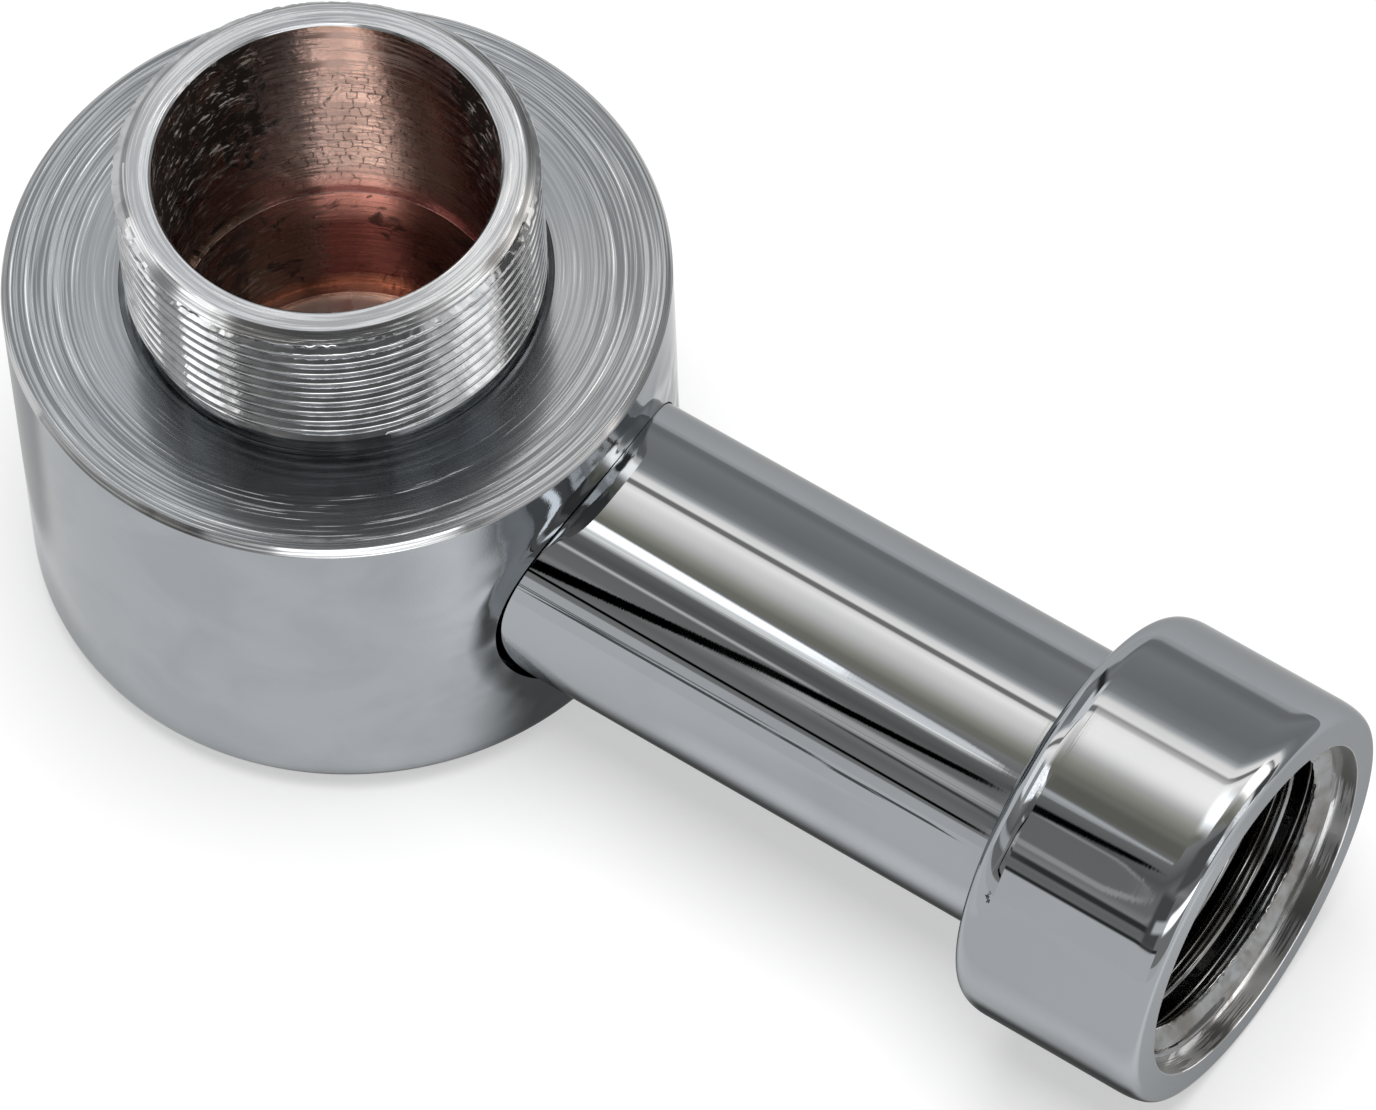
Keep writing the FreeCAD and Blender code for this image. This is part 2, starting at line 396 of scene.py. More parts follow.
def makeThreadTree(settings):
    # The tree's inputs are the settings of a thread, each under its own name.
    tree, given, result = newGroup("Helical thread", "GeometryNodeTree", {
        "Geometry": "Geometry", **settings, "Place": "Vector", "Turn": "Vector", "Material": "Material"},
        ["Geometry"], "Geometry")
    bodyRows = times(given["Rows per Turn"], given["Turns"])
    rowCount = plus(bodyRows, 3.5)
    grid = addNode(tree, "GeometryNodeMeshGrid", {
        "Vertices X": plus(given["Around"], 1.5), "Vertices Y": rowCount})
    wholeRows = calc("FLOOR", rowCount)
    index = tree.nodes.new("GeometryNodeInputIndex").outputs[0]
    column = calc("FLOOR", over(plus(index, 0.5), wholeRows))
    row = minus(index, times(column, wholeRows))
    turnPart = over(column, given["Around"])
    angle = times(turnPart, 2 * math.pi)

    # Height climbs one pitch for each turn and is held between the thread's two ends.
    bodyRow = calc("MINIMUM", calc("MAXIMUM", minus(row, 1), 0), bodyRows)
    climb = times(given["Pitch"], plus(over(bodyRow, given["Rows per Turn"]), minus(turnPart, 1)))
    height = calc("MINIMUM", calc("MAXIMUM", plus(given["Start"], climb), given["Start"]), given["End"])

    # The profile is a flat-topped wave of the height, shifted by the angle.
    above = minus(height, given["Start"])
    below = minus(given["End"], height)
    phase = calc("FRACT", plus(minus(over(above, given["Pitch"]), turnPart),
                               plus(over(given["Start Angle"], 2 * math.pi), 4)))
    wave = minus(1, calc("ABSOLUTE", minus(times(phase, 2), 1)))
    slope = minus(minus(1, given["Root Flat"]), given["Crest Flat"])
    formed = over(minus(wave, given["Root Flat"]), slope, clamp=True)
    lift = blend(step(above, 0.0, given["Foot Reach"]), given["Foot Level"], formed)
    radius = plus(given["Root Radius"], times(lift, minus(given["Crest Radius"], given["Root Radius"])))

    # Burrs: noise eats into the crests near the End ring.
    way = minus(1, times(given["Inside"], 2))
    cosine, sine = calc("COSINE", angle), calc("SINE", angle)
    spot = joinXYZ(times(cosine, given["Lead Radius"]), times(sine, given["Lead Radius"]), height)
    noise = noiseOf(spot, over(1, given["Burr Size"]), 2.0, seed=times(given["Seed"], 7.31))
    bite = calc("MULTIPLY", minus(noise, 0.47), 5, clamp=True)
    near = calc("SUBTRACT", 1, over(below, given["Burr Reach"]), clamp=True)
    eaten = times(times(bite, lift), times(near, given["Burr Depth"]))
    signed = minus(times(radius, way), eaten)
    leadLimit = plus(times(given["Lead Radius"], way), times(below, given["Lead Slope"]))
    held = times(calc("MINIMUM", signed, leadLimit), way)

    # The first and last rows are plain rings that meet the turned body.
    isFirst = calc("COMPARE", row, 0, 0.5)
    isLast = calc("COMPARE", row, minus(wholeRows, 1), 0.5)
    ringed = blend(isLast, blend(isFirst, held, given["Foot Radius"]), given["Lead Radius"])
    tall = blend(isLast, blend(isFirst, height, given["Start"]), given["End"])
    strip = addNode(tree, "GeometryNodeSetPosition", {
        "Geometry": grid.outputs["Mesh"],
        "Position": joinXYZ(times(ringed, cosine), times(ringed, sine), tall)})
    turned = addNode(tree, "GeometryNodeFlipFaces", {"Mesh": strip.outputs[0], "Selection": given["Inside"]})
    laid = addNode(tree, "GeometryNodeTransform", {
        "Geometry": turned.outputs[0], "Translation": given["Place"], "Rotation": given["Turn"]})
    smooth = addNode(tree, "GeometryNodeSetShadeSmooth", {"Geometry": laid.outputs[0]})
    joined = addNode(tree, "GeometryNodeJoinGeometry", {0: smooth.outputs[0]})
    feed(joined.inputs[0], given["Geometry"])
    merged = addNode(tree, "GeometryNodeMergeByDistance", {"Geometry": joined.outputs[0], "Distance": 2e-7})
    real = addNode(tree, "GeometryNodeRealizeInstances", {"Geometry": merged.outputs[0]})
    done = addNode(tree, "GeometryNodeSetMaterial", {
        "Geometry": real.outputs[0], "Material": given["Material"]})
    feed(result[0], done.outputs[0])
    return tree


def addThread(made, settings, material):
    # Runs the thread tree over the open body and keeps the result as a plain mesh.
    modifier = made.modifiers.new("thread", "NODES")
    modifier.node_group = threadTree
    sockets = {s.name: s.identifier for s in threadTree.interface.items_tree if s.in_out == "INPUT"}
    for name, value in {**settings, "Material": material}.items():
        modifier[sockets[name]] = value
    bake(made)


def makeRoundGroup():
    # Angle in radians, radius and height in millimetres, of a point about its own Z axis.
    tree, given, result = newGroup("Round coordinates", "ShaderNodeTree", {"Vector": "Vector"},
                                   ["Angle", "Radius", "Height"])
    x, y, z = splitXYZ(given["Vector"])
    feed(result["Angle"], calc("ARCTAN2", y, x))
    feed(result["Radius"], times(calc("SQRT", plus(times(x, x), times(y, y))), 1 / mm))
    feed(result["Height"], times(z, 1 / mm))
    return tree


def makeTurningGroup():
    # Tool rings along a line. Drift lets a ring change on its way round, so that it breaks into arcs.
    tree, given, result = newGroup("Turning rings", "ShaderNodeTree", {
        "Along": 0.0, "Angle": 0.0, "Spacing": 0.25, "Drift": 0.3, "Broad": 1.0, "Scores": 0.0, "Seed": 0.0},
        ["Height", "Shade", "Score"])
    arc = joinXYZ(times(calc("COSINE", given["Angle"]), given["Drift"]),
                  times(calc("SINE", given["Angle"]), given["Drift"]), over(given["Along"], given["Spacing"]))
    fine = noiseOf(arc, 1.0, 3.0, 0.65, seed=given["Seed"])
    broad = noiseOf(arc, 0.21, 1.0, seed=given["Seed"])
    score = step(fine, 0.59, 0.66)
    swell, cut = times(broad, given["Broad"]), times(score, given["Scores"])
    feed(result["Height"], minus(plus(fine, swell), cut))
    feed(result["Shade"], step(fine, 0.43, 0.57))
    feed(result["Score"], score)
    return tree


def makeGrainGroup():
    # Fine speckle in the plating and soft smudges over it.
    tree, given, result = newGroup("Plating grain", "ShaderNodeTree", {
        "Vector": "Vector", "Speckle Size": 0.12, "Smudge Size": 6.0}, ["Speckle", "Smudge"])
    speck = noiseOf(given["Vector"], over(1 / mm, given["Speckle Size"]), 1.0)
    smudge = noiseOf(given["Vector"], over(1 / mm, given["Smudge Size"]), 3.0, distortion=0.6)
    feed(result["Speckle"], step(speck, 0.3, 0.7))
    feed(result["Smudge"], step(smudge, 0.35, 0.7))
    return tree


roundGroup, turningGroup, grainGroup = makeRoundGroup(), makeTurningGroup(), makeGrainGroup()


def aboutZ(place):
    return placeGroup(roundGroup, {"Vector": place})


def aboutTube(place):
    # The same about the tube's axis, with the height along X.
    shifted = addNode(treeOf(place), "ShaderNodeMapping", {
        "Vector": place, "Location": (0, 0, -tubeSizes["axisHeight"] * mm)})
    x, y, z = splitXYZ(shifted.outputs[0])
    return aboutZ(joinXYZ(y, z, x))


def ringsOf(along, angle, spacing, drift, **others):
    return placeGroup(turningGroup, {
        "Along": along, "Angle": angle, "Spacing": spacing, "Drift": drift, **others})


def grainOf(place, speckle, smudge):
    return placeGroup(grainGroup, {"Vector": place, "Speckle Size": speckle, "Smudge Size": smudge})


def newFinish(name, metallic=1.0):
    material = bpy.data.materials.new(name)
    material.use_nodes = True
    shader = material.node_tree.nodes["Principled BSDF"]
    shader.inputs["Metallic"].default_value = metallic
    return material, shader, material.node_tree.nodes.new("ShaderNodeTexCoord").outputs["Object"]


def emboss(shader, height, depth, under=None):
    # The depth is in millimetres. under is the normal of another relief, which this one lies on.
    bump = addNode(shader.id_data, "ShaderNodeBump", {"Height": height, "Distance": depth * mm})
    if under is not None:
        feed(bump.inputs["Normal"], under)
    feed(shader.inputs["Normal"], bump.outputs[0])
    return bump.outputs[0]


def grooved(shader, amount):
    # Grooves that run round the Z axis scatter light across themselves.
    tangent = addNode(shader.id_data, "ShaderNodeTangent", direction_type="RADIAL", axis="Z")
    setSockets(shader, {"Anisotropic": amount, "Anisotropic Rotation": 0.25, "Tangent": tangent.outputs[0]})


chromeTones = {
    "bright": (0.385, 0.405, 0.425), "dull": (0.345, 0.365, 0.385),
    "faceBright": (0.345, 0.36, 0.375), "faceDull": (0.16, 0.17, 0.18),
    "rimBright": (0.52, 0.535, 0.55), "rimDull": (0.33, 0.34, 0.355), "scored": (0.72, 0.73, 0.74),
    # root is the painted shade at the bottom of the thread's groove.
    "thread": (0.50, 0.51, 0.52), "threadDull": (0.34, 0.35, 0.36), "root": (0.05, 0.052, 0.055),
    # lip is the colour of the painted glints in the tube's mouth, lipDull the plain tone between them.
    "lip": (0.98, 0.985, 0.99), "lipDull": (0.36, 0.36, 0.355),
    "leadBright": (0.54, 0.545, 0.55), "leadDull": (0.25, 0.255, 0.26),
    "socket": (0.28, 0.285, 0.29), "socketDull": (0.17, 0.163, 0.15),
}

# Round the side hole the wall is pulled in and smoother, by millimetres from the hole's edge. What
# lies behind the drum's axis counts as far from it. The dents fade out over dentReach.
wallLook = {
    "holeEdge": 9.6, "farOff": 50.0, "smooth": (0.5, 6.0), "pulled": (1.8, -0.2),
    "dentReach": 4.5, "dentSize": 2.4, "dentDepth": 0.28,
}


def wallChrome(look):
    material, shader, place = newFinish("wall_chrome")
    grain = grainOf(place, 0.14, 7.0)
    about = aboutTube(place)
    fromHole = plus(minus(about["Radius"], look["holeEdge"]),
                    times(step(about["Height"], 4.0, 0.0), look["farOff"]))
    rough = blend(grain["Speckle"], 0.05, 0.1)
    setSockets(shader, {
        "Base Color": blendColours(grain["Smudge"], chromeTones["bright"], chromeTones["dull"]),
        "Specular Tint": (0.8, 0.8, 0.8, 1),
        "Roughness": blend(step(fromHole, *look["smooth"]), 0.02, rough)})
    rolled = times(step(fromHole, *look["pulled"]), -1.0)
    hollows = noiseOf(place, 1 / mm / look["dentSize"], 0.0, distortion=0.5, seed=2.0)
    dents = times(hollows, step(fromHole, look["dentReach"], 0.0))
    drawn = emboss(shader, plus(rolled, dents), look["dentDepth"])
    emboss(shader, grain["Speckle"], 0.0011, drawn)
    return material


def tubeChrome():
    material, shader, place = newFinish("tube_chrome")
    about = aboutTube(place)
    grain = grainOf(place, 0.4, 9.0)
    smudged = times(grain["Smudge"], 0.5)
    setSockets(shader, {
        "Base Color": blendColours(smudged, chromeTones["bright"], chromeTones["dull"]),
        "Specular Tint": (0.62, 0.62, 0.62, 1), "Roughness": blend(grain["Smudge"], 0.012, 0.03)})
    emboss(shader, ringsOf(about["Height"], about["Angle"], 0.3, 2.0, Seed=5.0)["Height"], 0.0002)
    return material


def turnedChrome(name, bright, dull, calm):
    # The rings are strong outside the radius calm and faint inside it.
    material, shader, place = newFinish(name)
    about = aboutZ(place)
    rings = ringsOf(about["Radius"], about["Angle"], 0.17, 1.1, Broad=2.0, Scores=0.8)
    strong = blend(step(about["Radius"], calm - 1.2, calm + 0.8), 0.3, 1.0)
    shade = blend(strong, 0.55, rings["Shade"])
    tint = blendColours(shade, chromeTones[dull], chromeTones[bright])
    tint = blendColours(times(rings["Score"], strong), tint, chromeTones["scored"])
    setSockets(shader, {"Base Color": tint, "Roughness": blend(shade, 0.17, 0.1)})
    grooved(shader, 0.6)
    emboss(shader, times(rings["Height"], strong), 0.0055)
    return material


# Painted shade: the colour darkens to near black at the bottom of the groove, above the thread's relief,
# where plating and light both get thin.
threadLook = {"height": (26.9, 27.3), "radius": (12.52, 12.34), "paintedRootShade": 0.55}


def threadChrome(look):
    material, shader, place = newFinish("thread_chrome")
    grain, about = grainOf(place, 0.3, 1.6), aboutZ(place)
    tint = blendColours(grain["Smudge"], chromeTones["thread"], chromeTones["threadDull"])
    inThread = times(step(about["Height"], *look["height"]), look["paintedRootShade"])
    paintedRootShade = times(step(about["Radius"], *look["radius"]), inThread)
    setSockets(shader, {"Base Color": blendColours(paintedRootShade, tint, chromeTones["root"]),
                        "Roughness": blend(grain["Smudge"], 0.06, 0.12)})
    emboss(shader, grain["Speckle"], 0.001)
    return material


# Tones of the copper, by depth below the nipple's top as a share of the bore's depth, and of what lies on it.
# Down to the ledge the tone is paler than copper, a painted highlight; below the ledge it is near black,
# painted shade.
boreLook = {
    "top": 37.5, "depth": 27.5,
    "copperAndPaintedLight": [
        (0.0, (0.86, 0.74, 0.52)), (0.02, (1.0, 0.89, 0.87)), (0.52, (1.0, 0.89, 0.87)),
        (0.63, (0.86, 0.48, 0.44)), (0.74, (0.17, 0.052, 0.045)), (0.93, (0.17, 0.052, 0.045)),
        (0.975, (0.70, 0.38, 0.28)), (1.0, (0.97, 0.90, 0.83))],
    "near": (1.0, 0.95, 0.94), "red": (0.20, 0.075, 0.065), "brown": (0.19, 0.14, 0.115),
    "groove": (0.10, 0.05, 0.045), "darkPatches": (0.022, 0.018, 0.016), "fleck": (0.86, 0.80, 0.74),
}


def copperBore(look):
    material, shader, place = newFinish("bore_copper")
    tree, about = material.node_tree, aboutZ(place)
    height = about["Height"]
    # The angle runs from -60 to 300 degrees, and the stretch that the photo shows is 40 to 220.
    around = times(about["Angle"], 180 / math.pi)
    around = plus(around, times(step(around, -60.0, -60.1), 360.0))
    rings = ringsOf(height, about["Angle"], 0.3, 1.6, Seed=3.0)
    grain = grainOf(place, 0.3, 3.2)
    blotch = noiseOf(place, 400.0, 5.0, 0.65, 0.7)
    depth = over(minus(look["top"], height), look["depth"], clamp=True)
    copperAndPaintedLight = rampOf(depth, look["copperAndPaintedLight"])

    # The wall is brown on both sides of one bright stretch, a painted highlight. Its edges are drawn out
    # along the tool rings.
    pull = times(minus(rings["Shade"], 0.5), blend(step(height, 31.5, 35.0), 5.0, 16.0))
    pulled = plus(around, pull)
    bright = between(pulled, 112.0, 131.0, 16.0, 6.0)
    half = between(pulled, 96.0, 148.0, 22.0, 12.0)
    facing = between(around, -20.0, 230.0, 30.0, 30.0)
    paintedStreak = plus(times(bright, 0.7), times(half, 0.3))
    aboveFloor = step(depth, 0.985, 0.96)
    onWall = times(aboveFloor, facing)
    sideTone = blendColours(step(around, 100.0, 136.0), look["red"], look["brown"])
    # The near side, which the camera sees only in the far side's reflections, is paler than copper, so that
    # it shows as a painted highlight there.
    hidden = times(minus(1, facing), aboveFloor)
    tone = blendColours(hidden, copperAndPaintedLight, look["near"])
    tone = blendColours(times(minus(0.97, paintedStreak), onWall), tone, sideTone)

    # Near black lies in torn patches on both sides, mostly high up, and in blots below the ledge.
    left, right = step(around, 92.0, 66.0), step(around, 140.0, 160.0)
    high = plus(times(left, blend(step(height, 27.0, 35.0), 0.02, 0.32)),
                times(right, blend(step(height, 22.5, 29.0), 0.09, 0.28)))
    belowLedge = step(height, 21.0, 19.5)
    level = plus(blotch, plus(high, times(belowLedge, 0.12)))
    darkPatches = times(step(level, 0.67, 0.76), times(onWall, blend(belowLedge, 1.0, 0.7)))
    tone = blendColours(times(darkPatches, 0.95), tone, look["darkPatches"])

    # Pale flecks on the dark sides, where the surface is scraped or crusted.
    sheet = joinXYZ(times(around, drumSizes["upperBore"] * math.pi / 180), height)
    drawn = addNode(tree, "ShaderNodeMapping", {
        "Vector": sheet, "Rotation": (0, 0, 0.5), "Scale": (0.9, 2.2, 1.0)})
    scraped = step(noiseOf(drawn.outputs[0], 0.8, 6.0, 0.75, 1.0), 0.56, 0.62)
    fleck = times(scraped, times(calc("ADD", left, right, clamp=True), onWall))
    fleck = times(fleck, blend(step(height, 24.0, 30.0), 0.3, 0.95))
    tone = blendColours(fleck, tone, look["fleck"])

    # Chatter marks: small facets in staggered rows, each of its own tilt and shade.
    wobble = noiseOf(sheet, 0.9, 3.0, output="Color")
    swayed = addNode(tree, "ShaderNodeVectorMath", {0: wobble, 1: (0.8, 0.9, 0.0), 2: sheet},
                     operation="MULTIPLY_ADD").outputs[0]
    tiles = addNode(tree, "ShaderNodeTexBrick", {
        "Vector": swayed, "Color1": (0, 0, 0, 1), "Color2": (1, 1, 1, 1), "Mortar": (0.2, 0.2, 0.2, 1),
        "Scale": 1.0, "Mortar Size": 0.055, "Mortar Smooth": 0.3, "Brick Width": 0.72, "Row Height": 0.84},
        offset=0.43).outputs
    broken = step(noiseOf(sheet, 2.2, 2.0), 0.44, 0.54)
    shown = times(between(height, 22.0, 32.0, 2.0, 2.0), between(around, 98.0, 150.0, 10.0, 8.0))
    patchy = times(shown, step(blotch, 0.66, 0.48))
    edged = times(tiles["Fac"], patchy, broken)
    shade = times(minus(1, tiles["Color"]), times(patchy, 0.2))
    tone = blendColours(calc("MAXIMUM", times(edged, 0.7), shade), tone, look["groove"])
    rough = blend(rings["Shade"], 0.2, 0.3)
    setSockets(shader, {"Base Color": tone, "Metallic": blend(fleck, 1.0, 0.1),
                        "Roughness": blend(darkPatches, rough, 0.5)})
    grooved(shader, 0.9)
    facets = times(minus(tiles["Color"], edged), patchy)
    wavy = emboss(shader, plus(times(rings["Height"], 0.5), facets), 0.02)
    emboss(shader, plus(grain["Speckle"], times(fleck, 3.0)), 0.006, wavy)
    return material


def socketChrome(name, bright, dull, rough, paintedGlints=()):
    # paintedGlints are painted highlights: the stretches round the tube's axis, in degrees, where the colour
    # stays bright.
    material, shader, place = newFinish(name)
    grain = grainOf(place, 0.8, 2.6)
    dullFromSmudgeAndGlintGaps, relief, depth = grain["Smudge"], grain["Speckle"], 0.001
    if paintedGlints:
        about = aboutTube(place)
        rings = ringsOf(about["Height"], about["Angle"], 0.16, 2.0, Seed=6.0)
        sway = times(minus(rings["Shade"], 0.5), 14.0)
        around = plus(times(about["Angle"], 180 / math.pi), sway)
        dullFromSmudgeAndGlintGaps = minus(1, plus(*(between(around, low, high, 5.0, 5.0) for low, high in paintedGlints)))
        relief, depth = rings["Height"], 0.004
    setSockets(shader, {"Base Color": blendColours(dullFromSmudgeAndGlintGaps, chromeTones[bright], chromeTones[dull]),
                        "Roughness": blend(grain["Smudge"], rough, rough + 0.09)})
    emboss(shader, relief, depth)
    return material


finishes = {
    "wall": wallChrome(wallLook), "turned": turnedChrome("turned_chrome", "faceBright", "faceDull", 16.3),
    "rim": turnedChrome("rim_chrome", "rimBright", "rimDull", 5.0), "thread": threadChrome(threadLook),
    "lead": turnedChrome("lead_chrome", "leadBright", "leadDull", 5.0), "bore": copperBore(boreLook),
    "mirror": tubeChrome(), "socket": socketChrome("socket_chrome", "socket", "socketDull", 0.08),
    # The lip's three stretches are painted glints.
    "lip": socketChrome("lip_chrome", "lip", "lipDull", 0.3, ((-128, -114), (-92, -68), (-34, -14))),
}
print("finishes made")


nippleThread = {
    "Around": drumSizes["around"], "Rows per Turn": 12, "Turns": 12, "Pitch": 1.0 * mm,
    "Start": drumSizes["reliefTop"] * mm, "End": drumSizes["nippleTop"] * mm,
    "Root Radius": 12.26 * mm, "Crest Radius": drumSizes["threadCrest"] * mm,
    "Root Flat": 0.15, "Crest Flat": 0.1, "Start Angle": math.radians(20),
    "Foot Radius": drumSizes["reliefRoot"] * mm, "Foot Level": 0.0, "Foot Reach": 0.35 * mm,
    "Lead Radius": drumSizes["leadIn"] * mm, "Lead Slope": 1.9, "Inside": False,
    "Burr Depth": 0.16 * mm, "Burr Reach": 2.2 * mm, "Burr Size": 0.32 * mm, "Seed": 4,
}

threadTree = makeThreadTree(nippleThread)


def makeDrum(sizes, hole, thread):
    rows = sectionOf(sizes, [
        (0, 0, 0, "wall"),
        ("radius", 0, "baseRounding", "wall"),
        ("radius", sizes["height"] - sizes["faceChamfer"], "edgeSoftness", "lead"),
        (sizes["radius"] - sizes["faceChamfer"], "height", "edgeSoftness", "turned"),
        ("footRing", "height", "edgeSoftness", "turned"),
        ("threadCrest", "reliefFloor", 0, "turned"),
        ("reliefRoot", "reliefFloor", 0, "thread"),
        ("reliefRoot", "reliefTop", 0, "zone"),
        ("leadIn", "nippleTop", 0, "rim"),
        (sizes["upperBore"] + sizes["boreEdge"], "nippleTop", "edgeSoftness", "rim"),
        ("upperBore", sizes["nippleTop"] - sizes["boreEdge"], 0, "bore"),
        ("upperBore", "ledge", 0, "bore"),
        ("lowerBore", "ledge", "edgeSoftness", "bore"),
        ("lowerBore", "lip", 0, "bore"),
        ("pocket", "lip", "edgeSoftness", "bore"),
        ("pocket", "floor", 0, "bore"),
        (0, "floor", 0, None),
    ])
    drum = lathe("drumBody", rows, sizes["around"])
    cutterRows = sectionOf(hole, [(radius, along, 0, "hole") for radius, along in (
        (0, "tip"), ("passage", "passageEnd"), ("passage", "spigotEnd"), ("spigot", "spigotEnd"),
        ("spigot", "seat"), ("mouth", "seat"), ("mouth", "outside"))] + [(0, "outside", 0, None)])
    cutter = lathe("cutter", cutterRows, hole["around"], hole["axisHeight"] - hole["drop"])
    cutter.location.y = -hole["forward"] * mm
    cut = drum.modifiers.new("side hole", "BOOLEAN")
    cut.operation, cut.solver, cut.object = "DIFFERENCE", "EXACT", cutter
    bake(drum)
    bpy.data.objects.remove(cutter)

    def inZone(c):
        # Close to the cone that stands for the thread.
        reach = (c[:, 2] - sizes["reliefTop"]) / (sizes["nippleTop"] - sizes["reliefTop"])
        cone = sizes["reliefRoot"] + (sizes["leadIn"] - sizes["reliefRoot"]) * reach
        return (np.abs(np.hypot(c[:, 0], c[:, 1]) - cone) < 0.05) & (reach > 0) & (reach < 1)

    dropZone(drum, inZone)
    addThread(drum, thread, finishes["thread"])
    top, wide = np.array((sizes["leadIn"], sizes["nippleTop"])), sizes["threadCrest"] - sizes["leadIn"]
    outward = unit(np.array((1.0, thread["Lead Slope"])))
    lead = (top + np.array((wide, -wide / thread["Lead Slope"])), top, outward, outward, "lead")
    shadeTurned(drum, [row for row in rows if row[4] != "zone"] + [lead],
                {key: finishes[key] for key in ("wall", "turned", "rim", "lead", "thread", "bore")}, "thread")
    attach(drum, "root")
    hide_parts("drum_body")
    print("drum made:", len(drum.data.polygons), "faces")


makeDrum(drumSizes, sideHole, nippleThread)


turnToX = Matrix(((0, 0, 1), (1, 0, 0), (0, 1, 0))).to_euler()  # local Z lies along X
socketThread = {
    "Around": tubeSizes["around"], "Rows per Turn": 14, "Turns": 7, "Pitch": 1.814 * mm,
    "Start": tubeSizes["threadInnerEnd"] * mm, "End": tubeSizes["shoulder"] * mm,
    "Root Radius": 10.48 * mm, "Crest Radius": tubeSizes["threadCrest"] * mm,
    "Root Flat": 0.12, "Crest Flat": 0.12, "Start Angle": 0.0,
    "Foot Radius": tubeSizes["threadCrest"] * mm, "Foot Level": 1.0, "Foot Reach": 2.4 * mm,
    "Lead Radius": 10.75 * mm, "Lead Slope": 2.5, "Inside": True,
    "Burr Depth": 0.22 * mm, "Burr Reach": 1.8 * mm, "Burr Size": 0.6 * mm, "Seed": 9,
    "Place": (0, 0, tubeSizes["axisHeight"] * mm), "Turn": tuple(turnToX),
}


def makeTube(sizes, thread):
    cone = (sizes["threadCrest"] - sizes["bore"]) / math.tan(math.radians(sizes["drillHalfAngle"]))
    leadRadius = thread["Lead Radius"] / mm
    rows = sectionOf(sizes, [
        ("bore", "spigotEnd", 0, "socket"),
        ("spigot", "spigotEnd", 0, "socket"),
        ("spigot", "seat", 0, "socket"),
        ("radius", "seat", 0, "mirror"),
        ("radius", "collarBack", 0, "mirror"),
        ("collar", "collarBack", "backEdge", "mirror"),
        ("collar", "collarFront", "frontEdge", "mirror"),
        ("mouth", "collarFront", "edgeSoftness", "lip"),
        ("mouth", "shoulder", 0, "lip"),
        (leadRadius, "shoulder", 0, "zone"),
        ("threadCrest", "threadInnerEnd", 0, "socket"),
        ("bore", sizes["threadInnerEnd"] - cone, 0, "socket"),
    ])
    tube = lathe("outletTube", rows, sizes["around"], sizes["axisHeight"])

    def inZone(c):
        radius = np.hypot(c[:, 1], c[:, 2] - sizes["axisHeight"])
        along = (c[:, 0] > sizes["threadInnerEnd"]) & (c[:, 0] < sizes["shoulder"] - 0.01)
        return (radius < leadRadius) & along

    dropZone(tube, inZone)
    addThread(tube, thread, finishes["socket"])
    shadeTurned(tube, [row for row in rows if row[4] != "zone"],
                {key: finishes[key] for key in ("mirror", "socket", "lip")}, "socket", sizes["axisHeight"])
    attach(tube, "root")
    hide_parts("outlet_tube")
    print("tube made:", len(tube.data.polygons), "faces")


makeTube(tubeSizes, socketThread)


studio = {
    "floorSize": 6.0, "floorColour": (0.93, 0.93, 0.93), "floorLift": 0.5,
    "skyLight": 0.25, "lampPlace": (0.05, 0.03, 0.9), "lampSize": 0.65, "lampPower": 9.5,
    "tentRadius": 1.0, "tentHalfLength": 1.5, "tentSteps": 48, "tentAxisHeight": 0.0131, "tentPeak": 5.0,
    # Past these two places, in metres along X, the cloth's bands swing by degrees per metre.
    "leftBend": (-0.345, 110.0), "rightBend": (-0.215, 60.0), "mostBend": 22.0,
    # The tent's cloth: degrees above the +Y horizon and light there, by the tint of the light.
    "cloth": {
        "plain": [(0, 0.80), (4, 0.72), (7, 0.36), (12, 0.34), (20, 0.42), (32, 0.37), (42, 0.35),
                  (50, 0.42), (54, 0.50), (57, 0.86)],
        "warm": [(60, 1.6), (64.5, 1.75), (66, 0.36), (69, 0.36), (70.5, 1.6), (74, 1.85), (80, 1.5),
                 (86, 1.3), (92, 0.95)],
        "olive": [(98, 0.58), (104, 0.34), (108, 0.33)],
        "neutral": [(110, 0.40), (120, 0.30), (130, 0.19), (138, 0.29), (147, 0.31), (151, 0.45),
                    (153, 0.36), (158, 0.27), (164, 0.33), (180, 0.34)],
    },
    "tints": {"plain": (1, 1, 1), "warm": (1.05, 1.0, 0.95), "olive": (1.06, 1.02, 0.86),
              "neutral": (1.02, 1.0, 0.97)},
}

# What lies on the floor and shows in reflections only, as glowing cards, in metres: the table near
# the drum, its far part a little darker in painted shade, and its near part, painted shade left of the
# drum, a seam in the near part, and painted shadow under the tube and under the collar.
# lean shifts a card along X with Y, and clear keeps it off the round foot of the drum.
plainCard = {"x": (-3.0, 3.0), "lean": 0.0, "clear": 0.0}
floorCards = [
    # The table's far part, a little darker: painted shade.
    {"y": (0.0105, 3.0), "light": 0.86, "soft": 0.003, "clear": 0.0215},
    {"y": (-3.0, -0.022), "light": 0.90, "soft": 0.006},
    {"x": (-0.07, 0.025), "y": (-0.07, 0.0), "light": 0.97, "soft": 0.004, "clear": 0.0215},
    # Painted shade left of the drum.
    {"x": (-0.09, -0.017), "y": (-0.0165, 0.03), "light": 0.56, "soft": 0.002, "clear": 0.0215},
    *({"x": x, "y": y, "light": 0.15, "soft": soft, "lean": 0.33} for x, y, soft in (
        ((-0.02, 0.012), (-2.0, -0.62), 0.002), ((0.012, 0.0395), (-0.60, -0.26), 0.002),
        ((0.0395, 0.0455), (-0.60, -0.255), 0.002), ((0.0455, 0.0505), (-0.33, -0.185), 0.001),
        ((0.0505, 0.0585), (-0.37, -0.215), 0.001))),
    # Painted shadow under the tube and under the collar.
    {"x": (0.017, 0.052), "y": (-0.0105, 0.0115), "light": 0.13, "soft": 0.0035},
    {"x": (0.0515, 0.066), "y": (-0.0138, 0.0135), "light": 0.13, "soft": 0.0015},
]

